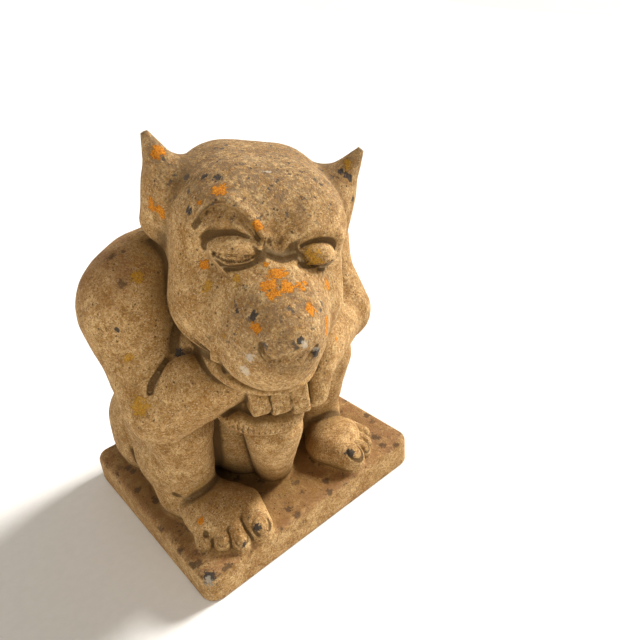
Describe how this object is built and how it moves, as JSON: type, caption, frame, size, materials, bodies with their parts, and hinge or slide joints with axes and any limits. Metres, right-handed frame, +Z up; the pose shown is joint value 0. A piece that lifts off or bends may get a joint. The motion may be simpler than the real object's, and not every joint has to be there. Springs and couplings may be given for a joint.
{
  "type": "gargoyle",
  "caption": "Squatting cast-stone gargoyle with pointed ears, a wide muzzle and its hands on a short column, in one piece with a rectangular plinth.",
  "frame": {"origin": "middle of the plinth's underside", "axes": "+Z up, -Y out of the plinth's front face, which the figure's body faces, +X to the figure's left"},
  "size_m": [0.374, 0.4342, 0.532],
  "materials": {
    "stone": "weathered buff cast stone with orange lichen"
  },
  "bodies": {
    "root": {"gargoyle": "stone"}
  },
  "joints": []
}
